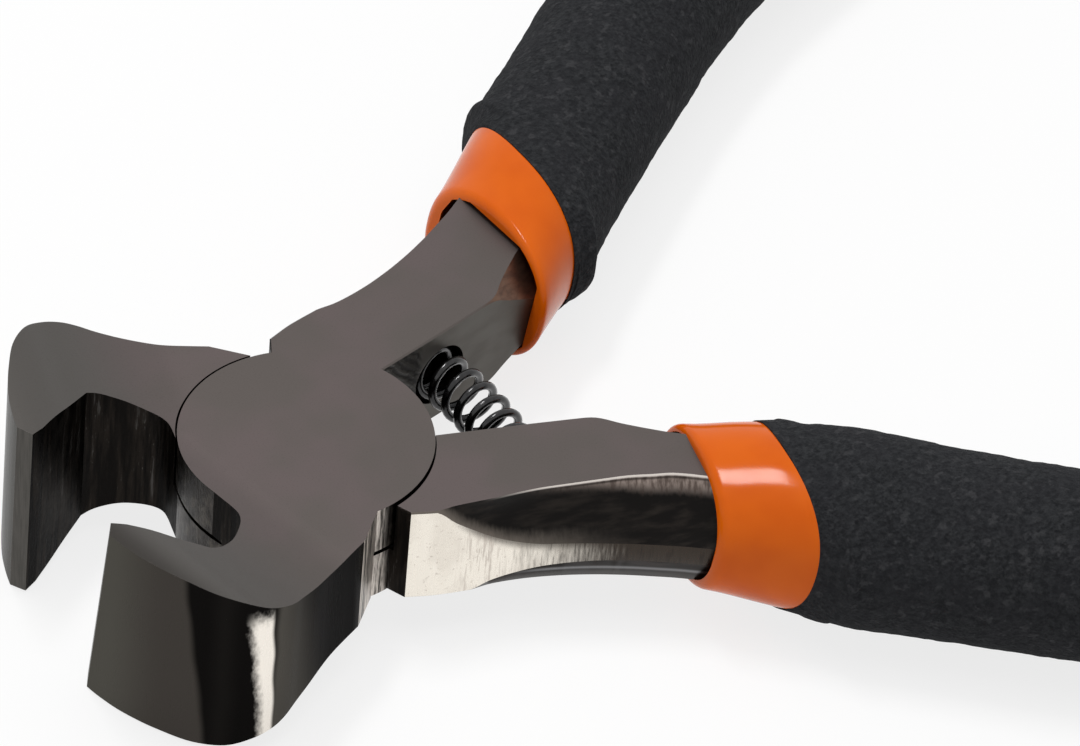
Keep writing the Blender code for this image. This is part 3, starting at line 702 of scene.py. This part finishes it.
def makeLever(letter):
    tall = jaw["bladeHeight"] / 2 + margin
    outline, slots = plateOutline()
    lever = prism("forgedLever" + letter, outline, -tall, tall, slots)
    rows = smoothCurve(shank["shares"], shank["curveSteps"])
    tangEnd = 1 - handle["tangShort"] / handleRun
    steps = handle["tangSteps"]
    rings = [footRing()] + [shankRing(row) for row in rows]
    rings += [tangRing(tangEnd * step / steps) for step in range(1, steps + 1)]
    root = loft("shank", rings, slots=sectionSlots, endSlot=milledSlot)
    for face in root.data.polygons:
        if face.center.x < shank["shoulder"]:
            face.material_index = milledSlot
    carve(lever, root, "UNION")
    carve(lever, flareBlock(), "INTERSECT")
    under = prism("recess", recessOutline(), -tall - margin, joint["lapGap"] / 2, endSlot=milledSlot)
    carve(lever, under, "DIFFERENCE")
    hole = circle(spring["coil"] + spring["wire"] + spring["pocketClear"], spring["pocketSides"])
    station = spring["station"] + spring["shift"][letter]
    pocket = [[(station + x, side, y) for x, y in hole] for side in (-margin, pocketFloor)]
    carve(lever, loft("pocket", pocket, endSlot=milledSlot), "DIFFERENCE")
    bore = [[(x, y, z) for x, y in circle(radius, rivet["sides"])] for radius, z in bores[letter]]
    carve(lever, loft("bore", bore, endSlot=rimSlot), "DIFFERENCE")
    joinFlats(lever)
    shiftX, shiftY = jaw["shift"][letter]
    for vertex in lever.data.vertices:
        share = eased((-vertex.co.x - jaw["skewStart"]) / jaw["skewRun"])
        vertex.co.y += share * (shiftY - jaw["skew"][letter] * vertex.co.z)
        vertex.co.x += share * shiftX
    for material in steelFinishes:
        lever.data.materials.append(material)
    roundEdges(lever)
    place(lever, letter)
    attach(lever, "half_" + letter.lower())
    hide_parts("lever_" + letter.lower())


for letter in "AB":
    makeLever(letter)
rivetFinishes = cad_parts["pivot_rivet"].data.materials
rivetFinishes.clear()
rivetFinishes.append(rivetSteel())
print("levers made")


# The return spring, wound on the arc that stands square on both pocket floors

def springCentre():
    floor = pocketFloor - spring["seat"]
    cosine, sine = math.cos(joint["halfAngle"]), math.sin(joint["halfAngle"])
    endX = spring["station"] * cosine - floor * sine
    endY = spring["station"] * sine + floor * cosine
    arcRadius = endY / sine
    return endX - arcRadius * cosine, arcRadius


def wireSteel():
    # Oiled dark wire
    finish = Finish("wireSteel", (20, 20, 22), 0.9)
    drawn = finish.grain(3.0)
    finish.paint(drawn.fade(0.35, 0.7), (40, 39, 40))
    finish.fixed(Coat_Weight=0.7, Coat_Roughness=0.12)
    return finish.done(drawn * 0.15 + 0.16, drawn, 0.006, 0.3)


def makeSpring():
    arcCentre, arcRadius = springCentre()
    reach = joint["halfAngle"] - spring["wire"] * spring["endInset"] / arcRadius
    total, closed, closedPitch = spring["turns"], spring["closed"], spring["closedPitch"]
    middlePitch = (2 * reach * arcRadius - 2 * closed * closedPitch) / (total - 2 * closed)
    steps = total * spring["pointsPerTurn"]

    def shifted(angle):
        return arcCentre + between(spring["shift"]["A"], spring["shift"]["B"], (1 - angle / reach) / 2)

    path = []
    for step in range(steps + 1):
        turn = total * step / steps
        tight = min(turn, closed) + max(turn - (total - closed), 0)
        gone = tight * closedPitch + (turn - tight) * middlePitch
        along = reach - gone / arcRadius
        spin = math.tau * turn + spring["phase"]
        out = arcRadius + spring["coil"] * math.cos(spin)
        path.append(Vector((shifted(along) + out * math.cos(along), out * math.sin(along),
                            halfThickness + spring["coil"] * math.sin(spin))))
    rings = []
    for index, point in enumerate(path):
        ahead = (path[min(index + 1, steps)] - path[max(index - 1, 0)]).normalized()
        angle = math.atan2(point.y, point.x - arcCentre)
        middle = Vector((shifted(angle) + arcRadius * math.cos(angle), arcRadius * math.sin(angle), halfThickness))
        side = (point - middle).normalized()
        side = (side - ahead * side.dot(ahead)).normalized()
        up = ahead.cross(side)
        rings.append([tuple(point + (side * x + up * y)) for x, y in circle(spring["wire"], spring["wireSides"])])
    piece = loft("returnSpring", rings)
    piece.data.transform(Matrix.Scale(mm, 4))
    piece.data.materials.append(wireSteel())
    smooth(piece, spring["sharpFrom"])
    start = Vector((arcCentre + arcRadius * math.cos(reach), arcRadius * math.sin(reach) * spring["blendFrom"],
                    halfThickness)) * mm
    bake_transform(piece)
    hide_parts("return_spring")


makeSpring()
print("spring made")


# Grips: an orange sleeve with its collar showing, and a foam tube over it

grip = {"sleeveWall": 0.95, "square": 2.25, "rimRound": 0.5, "rimFlat": 0.02, "boreGap": 0.2, "boreCorner": 0.8,
        "boreBack": (1.1, 2.2), "leastWall": 0.3, "full": 5.5, "tailRound": 2.6, "tailShowing": 3.0, "settled": 0.3,
        "sides": 96, "roundSteps": 6, "fineSteps": 10, "boreSteps": 40, "sleeveSteps": 110, "sleeveSharp": 45,
        "foam": {"A": 5.85, "B": 5.95}, "foamProud": 0.12, "foamSquare": 2.12, "foamRound": 0.45, "foamTaper": 0.7,
        "foamGrowth": {"A": 16.0, "B": 6.0}, "foamOut": {"A": 0.0, "B": -0.3}, "foamOutRun": {"A": 13.0, "B": 7.0},
        "foamGrip": 0.1, "foamInnerSteps": 60, "foamSteps": 240, "foamSharp": 60,
        # the foam's unevenness: how fine and how high
        "swells": ((0.35, 0.1), (1.6, 0.05)), "swellSeed": {"A": 40, "B": 80},
        # how each half's collar rim and foam front stand on their handle; the rims have no bow
        "rim": {"A": {"along": -0.36, "width": 5.48, "height": 4.61, "tilt": -7.2, "lean": 0.207, "out": 0.3,
                      "lift": 0.1},
                "B": {"along": 0.42, "width": 5.07, "height": 4.5, "tilt": -3.0, "lean": -0.125, "out": 0.2,
                      "lift": 0.28}},
        "front": {"A": {"along": 4.75, "width": 5.68, "height": 5.18, "tilt": -10.5, "lean": 0.113, "out": 0.85,
                        "lift": 0.14, "bowOut": 1.0, "bowIn": 0.2},
                  "B": {"along": 5.05, "width": 5.36, "height": 5.08, "tilt": -7.5, "lean": -0.164, "out": 0.34,
                        "lift": 0.2, "bowOut": 0.35, "bowIn": 0.9}}}


def closingIn(share):
    return min(max((share - grip["full"] / handleRun) / handle["narrowing"], 0), 1)


def gripFit(letter, share):
    # The section's measures: from the rim's to the foam front's, then to those of a plain tube
    rim, front = grip["rim"][letter], grip["front"][letter]
    plain = {**dict.fromkeys(front, 0), "width": grip["foam"][letter], "height": grip["foam"][letter],
             "tilt": math.degrees(handlePlace(share)[1])}
    ahead = share * handleRun
    first = eased((ahead - rim["along"]) / (front["along"] - rim["along"]))
    frontShare = front["along"] / handleRun
    later = eased((share - frontShare) / (grip["settled"] - frontShare))
    fit = {name: between(between(rim.get(name, 0), front[name], first), plain[name], later) for name in front}
    if ahead > front["along"]:
        aside = eased((ahead - front["along"]) / grip["foamOutRun"][letter])
        fit["out"] = between(front["out"], grip["foamOut"][letter], aside)
    return fit


def ovalSection(letter, share, halfWidth, halfHeight, square):
    fit = gripFit(letter, share)
    halfWidth = halfWidth / math.cos(handlePlace(share)[1] - math.radians(fit["tilt"]))
    section = []
    for side in range(grip["sides"]):
        angle = math.tau * side / grip["sides"]
        c, s = math.cos(angle), math.sin(angle)
        section.append((halfWidth * math.copysign(abs(c) ** (2 / square), c),
                        halfHeight * math.copysign(abs(s) ** (2 / square), s)))
    return section


def gripRing(letter, share, section):
    fit = gripFit(letter, share)
    ahead, side = handlePlace(share)[0]
    ring = placedRing(section, (ahead, side + fit["out"]), math.radians(fit["tilt"]), fit["lean"])
    widest = max(e for e, _ in section)
    return [(x + fit["bowOut" if e > 0 else "bowIn"] * (e / widest) ** 2, y, z + fit["lift"])
            for (x, y, z), (e, _) in zip(ring, section)]


def sleeveSection(letter, share, inset=0.0):
    fit = gripFit(letter, share)
    close = closingIn(share)
    hidden = handle["tangHalf"] + rivet["gap"] + grip["sleeveWall"]
    return ovalSection(letter, share, between(fit["width"], hidden, close) - inset,
                       between(fit["height"], hidden, close) - inset, between(grip["square"], 2, close))


def boreSection(letter, share, leastWall):
    # A box round the tang on the sleeve's own rays, and never through the sleeve's outside
    tang = tangSection(max(share, 0))
    corner = grip["boreCorner"]
    box = steelSection(max(e for e, z in tang) + grip["boreGap"], max(z for e, z in tang) + grip["boreGap"],
                       [(corner, corner), (corner, corner), grip["boreBack"], (corner, corner)], 0,
                       shank["tangOver"])
    polygon = [Vector(point) for point in box]
    section = []
    for outside in sleeveSection(letter, share):
        ray = Vector(outside).normalized()
        for start, end in zip(polygon, polygon[1:] + polygon[:1]):
            edge = end - start
            cross = ray.cross(edge)
            if abs(cross) < 1e-9:
                continue
            reach, part = start.cross(edge) / cross, start.cross(ray) / cross
            if reach > 0 and -1e-6 <= part <= 1 + 1e-6:
                section.append(tuple(ray * min(reach, Vector(outside).length - leastWall)))
                break
    return section


def quarterRound(radius, steps, length=None):
    # How far along and how far in, from the end's face to the full section
    angles = [math.pi / 2 * step / steps for step in range(steps + 1)]
    return [((length or radius) * (1 - math.cos(angle)), radius * (1 - math.sin(angle))) for angle in angles]


def outerRings(letter, section, first, last, front, tail, steps):
    # The outer wall between its two rounded ends
    front = [(first + along / handleRun, drawn) for along, drawn in front]
    tail = [(last - along / handleRun, drawn) for along, drawn in reversed(tail)]
    middle = [(between(front[-1][0], tail[0][0], step / steps), 0) for step in range(1, steps)]
    return [gripRing(letter, share, section(letter, share, drawn)) for share, drawn in front + middle + tail]


def makeSleeve(letter, material):
    begin = grip["rim"][letter]["along"] / handleRun
    boreEnd = 1 - (handle["tangShort"] - rivet["gap"]) / handleRun
    steps = grip["boreSteps"]
    shares = [between(begin, boreEnd, (step / steps) ** 2) for step in range(steps, -1, -1)]
    inner = [gripRing(letter, share, boreSection(letter, share, between(
        grip["rimRound"] + grip["rimFlat"], grip["leastWall"], eased((share - begin) * handleRun))))
             for share in shares]
    outer = outerRings(letter, sleeveSection, begin, 1, quarterRound(grip["rimRound"], grip["roundSteps"]),
                       quarterRound(grip["tailRound"], grip["fineSteps"]), grip["sleeveSteps"])
    sleeve = loft("gripSleeve" + letter, inner + outer)
    smooth(sleeve, grip["sleeveSharp"])
    place(sleeve, letter, material)
    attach(sleeve, "half_" + letter.lower())
    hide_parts("grip_sleeve_" + letter.lower())


def foamSection(letter, share, drawn):
    # Nearly flush with the collar in front, then up to the foam's full size
    front = grip["front"][letter]
    grown = eased((share * handleRun - front["along"]) / grip["foamGrowth"][letter])
    width = between(front["width"] + grip["foamProud"], grip["foam"][letter], grown)
    height = between(front["height"] + grip["foamProud"], grip["foam"][letter], grown)
    return ovalSection(letter, share, width - drawn, height - drawn, between(grip["foamSquare"], 2, grown))


def makeFoam(letter, material):
    first, last = grip["front"][letter]["along"] / handleRun, 1 - grip["tailShowing"] / handleRun
    steps = grip["foamInnerSteps"]
    inner = [gripRing(letter, share, sleeveSection(letter, share, -grip["foamGrip"]))
             for share in (between(first, last, step / steps) for step in range(steps, -1, -1))]
    outer = outerRings(letter, foamSection, first, last,
                       quarterRound(grip["foamRound"], grip["fineSteps"], grip["foamTaper"]),
                       quarterRound(grip["foamRound"], grip["roundSteps"]), grip["foamSteps"])
    foam = loft("foamGrip" + letter, inner + outer, endless=True)
    seed = Vector((0, 0, grip["swellSeed"][letter]))
    swells = [(vertex.normal.copy(), sum(noise.noise(vertex.co * fine + seed) * high for fine, high in grip["swells"]))
              for vertex in foam.data.vertices]
    for vertex, (outward, swell) in list(zip(foam.data.vertices, swells))[len(inner) * grip["sides"]:]:
        vertex.co += outward * swell
    smooth(foam, grip["foamSharp"])
    place(foam, letter, material)
    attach(foam, "half_" + letter.lower())
    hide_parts("foam_grip_" + letter.lower())


def orangePlastic():
    finish = Finish("orangePlastic", (219, 98, 6), roughness=0.24)
    cloud = finish.grain(0.25, detail=2.0)
    fine = finish.grain(5.0, detail=2.0)
    finish.paint(cloud.fade(0.3, 0.7), (211, 90, 2))
    finish.paint(fine.fade(0.6, 0.8) * 0.2, (224, 108, 18))
    finish.fixed(Specular_IOR_Level=0.15)
    return finish.done(fine * 0.06 + 0.12, cloud * 2 + fine * 0.3, 0.03, 0.3)


def blackFoam():
    # Closed-cell foam: fine mottling with small open pores
    finish = Finish("blackFoam", (30, 31, 33), roughness=0.92)
    cells = finish.node("ShaderNodeTexVoronoi", {"feature": "F1"}, {"Vector": finish.spot, "Scale": 4.2}, "Distance")
    mottle = finish.grain(2.4, detail=5.0, rough=0.7)
    cloud = finish.grain(0.35)
    fleck = finish.grain(1.5, detail=2.0)
    finish.paint(mottle.fade(0.35, 0.65), (50, 51, 53))
    finish.paint(cloud.fade(0.35, 0.7) * 0.5, (40, 40, 43))
    finish.paint(fleck.fade(0.56, 0.7) * 0.5, (68, 68, 70))
    finish.paint(cells.fade(0.18, 0.02) * 0.6, (20, 20, 22))
    finish.fixed(Specular_IOR_Level=0.1)
    return finish.done(mottle * 0.1 + 0.86, mottle * 1.2 + cells * 0.8, 0.16, 0.75)


orange, black = orangePlastic(), blackFoam()
for letter in "AB":
    makeSleeve(letter, orange)
    makeFoam(letter, black)
print("grips made")


# Floor, light and camera

studio = {"floorDrop": 0.03, "floorSize": 2.4, "pale": (0.9, 0.9, 0.9, 1), "rough": 0.9, "ownGlow": 0.8,
          "worldGlow": 0.28, "lampAim": (0.02, 0, 0)}


def paleStage():
    low = min(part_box(name)[0].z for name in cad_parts)
    size = studio["floorSize"] / 2
    floor = newPiece("floor", [(x, y, low - studio["floorDrop"] * mm) for x, y in
                               ((-size, -size), (size, -size), (size, size), (-size, size))], [[0, 1, 2, 3]])
    material = bpy.data.materials.new("paleFloor")
    material.use_nodes = True
    web = Web(material.node_tree)
    shader = web.tree.nodes["Principled BSDF"]
    shader.inputs["Base Color"].default_value = studio["pale"]
    shader.inputs["Roughness"].default_value = studio["rough"]
    glow = web.node("ShaderNodeEmission", {}, {})
    lit = Wire(web, shader.outputs[0])
    surface = web.node("ShaderNodeMixShader", {}, [web.inView() * studio["ownGlow"], lit, glow])
    web.tree.links.new(surface.socket, web.tree.nodes["Material Output"].inputs["Surface"])
    floor.data.materials.append(material)


def paleWorld():
    # White where it is looked at, fainter as a light
    world = bpy.data.worlds.new("paleWorld")
    world.use_nodes = True
    web = Web(world.node_tree)
    background = web.tree.nodes["Background"].inputs
    background["Color"].default_value = (1, 1, 1, 1)
    strength = web.inView() * (1 - studio["worldGlow"]) + studio["worldGlow"]
    web.tree.links.new(strength.socket, background["Strength"])
    bpy.context.scene.world = world


def softLight(name, power, size, position, along=(1, 0, 0), mirrored=True):
    # Along is the way its longer side lies; one that isn't mirrored leaves no highlight on glossy surfaces
    light = bpy.data.lights.new(name, "AREA")
    light.shape = "RECTANGLE"
    light.energy = power
    light.size, light.size_y = size
    lamp = newObject(name, light)
    lamp.visible_glossy = mirrored
    back = (Vector(position) - Vector(studio["lampAim"])).normalized()
    side = Vector(along)
    side = (side - back * side.dot(back)).normalized()
    lamp.matrix_world = Matrix.Translation(position) @ Matrix((side, back.cross(side), back)).transposed().to_4x4()


# Focal length, aim and size are the photograph's pixels
view = {"azimuth": math.radians(-121.25), "elevation": math.radians(41.76), "roll": math.radians(3.68),
        "distance": 0.44, "focal": 7114.3, "aim": (306.4, 435.6), "size": (1080, 746), "sensor": 36.0, "near": 0.01}


def makeCamera():
    azimuth, elevation, roll = view["azimuth"], view["elevation"], view["roll"]
    back = Vector((math.cos(elevation) * math.cos(azimuth), math.cos(elevation) * math.sin(azimuth),
                   math.sin(elevation)))
    right = Vector((0, 0, 1)).cross(back).normalized()
    up = back.cross(right)
    right, up = right * math.cos(roll) + up * math.sin(roll), up * math.cos(roll) - right * math.sin(roll)
    width, height = view["size"]
    aim = Vector(((view["aim"][0] - width / 2) / view["focal"],
                  (height / 2 - view["aim"][1]) / view["focal"], -1)).normalized()
    swing = Vector((0, 0, -1)).rotation_difference(aim).to_matrix()
    turned = (swing @ Matrix((right, up, back))).transposed().to_4x4()
    camera = bpy.data.cameras.new("photoCamera")
    camera.sensor_fit = "HORIZONTAL"
    camera.sensor_width = view["sensor"]
    camera.lens = view["focal"] * view["sensor"] / width
    camera.clip_start = view["near"]
    eye = newObject("photoCamera", camera)
    turned.translation = back * view["distance"] + Vector((0, 0, joint["thickness"] * mm))
    eye.matrix_world = turned
    bpy.context.scene.camera = eye


paleStage()
paleWorld()
softLight("stripLight", 1.1, (0.17, 0.06), (-0.02, 0.135, 0.5), (0.14, 0.17, 0))
softLight("topLight", 1.5, (0.5, 0.5), (0.05, 0.0, 0.6), mirrored=False)
softLight("fillLight", 0.3, (0.4, 0.4), (-0.3, 0.0, 0.6), mirrored=False)
makeCamera()
bpy.context.scene.view_settings.view_transform = "Standard"
print("stage, lights and camera made")
